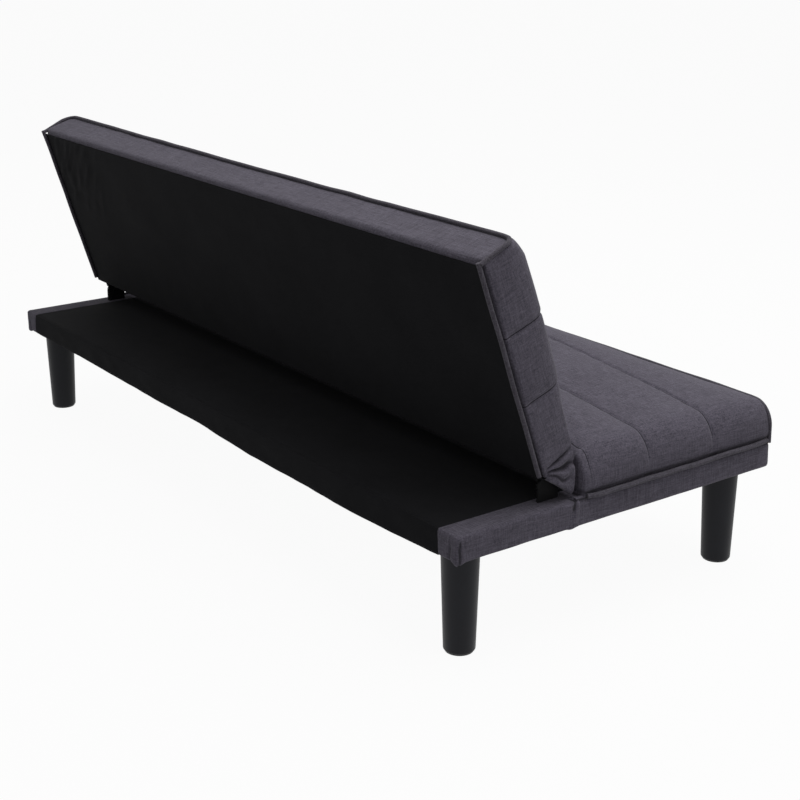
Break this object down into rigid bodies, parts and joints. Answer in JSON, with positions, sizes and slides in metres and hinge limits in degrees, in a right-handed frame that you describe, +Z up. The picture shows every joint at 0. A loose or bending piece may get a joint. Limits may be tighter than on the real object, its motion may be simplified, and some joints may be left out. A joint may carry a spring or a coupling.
{
  "type": "sofa bed",
  "caption": "Armless click-clack sofa bed: padded seat and tall padded back on a low wooden base with round legs; the back folds flat behind the seat to make a bed.",
  "frame": {"origin": "on the floor under the middle of the sofa", "axes": "+X along the sofa, +Y to the rear, +Z up; the front is at -Y"},
  "size_m": [1.69, 0.74, 0.7003],
  "materials": {
    "pine": "planed softwood",
    "leg_plastic": "satin black moulding",
    "glide_nylon": "matt nylon",
    "black_lining": "matt non-woven",
    "foam": "open-cell foam",
    "webbing": "elastic webbing",
    "hinge_steel": "black coated steel",
    "zinc_steel": "zinc plated",
    "charcoal_welt": "fabric covered cord",
    "charcoal_fabric": "woven linen look"
  },
  "bodies": {
    "base": {"base_arm_screws": "zinc_steel", "corner_blocks": "pine", "cross_bearers": "pine", "deck_cloth": "black_lining", "deck_slats": "pine", "dust_cover": "black_lining", "end_rail_left": "pine", "end_rail_right": "pine", "end_wrap_left": "charcoal_fabric", "end_wrap_right": "charcoal_fabric", "front_rail": "pine", "hinge_base_arm_left": "hinge_steel", "hinge_base_arm_right": "hinge_steel", "hinge_pawl_left": "hinge_steel", "hinge_pawl_right": "hinge_steel", "hinge_rivets": "hinge_steel", "leg_bolts": "zinc_steel", "leg_glides": "glide_nylon", "legs": "leg_plastic", "middle_rail": "pine", "plate_nuts": "zinc_steel", "rear_cloth": "black_lining", "rear_rail": "pine", "seat_border": "charcoal_fabric", "seat_cover": "charcoal_fabric", "seat_foam": "foam", "seat_foot_welt_left": "charcoal_welt", "seat_foot_welt_right": "charcoal_welt", "seat_front_welt": "charcoal_welt", "seat_webbing": "webbing", "slat_ledgers": "pine"},
    "back": {"back_arm_screws": "zinc_steel", "back_bottom_rail": "pine", "back_cover": "charcoal_fabric", "back_foam": "foam", "back_lining": "black_lining", "back_middle_stiles": "pine", "back_side_welt_left": "charcoal_welt", "back_side_welt_right": "charcoal_welt", "back_stile_left": "pine", "back_stile_right": "pine", "back_top_rail": "pine", "back_top_welt": "charcoal_welt", "back_webbing": "webbing", "hinge_back_arm_left": "hinge_steel", "hinge_back_arm_right": "hinge_steel"}
  },
  "joints": [
    {"name": "back_fold", "type": "hinge", "parent": "base", "child": "back", "pos_m": [0, 0.15, 0.262], "axis": [-1, 0, 0], "range_deg": [-10, 72], "deforming": ["hinge_pawl_left", "hinge_pawl_right"]}
  ]
}
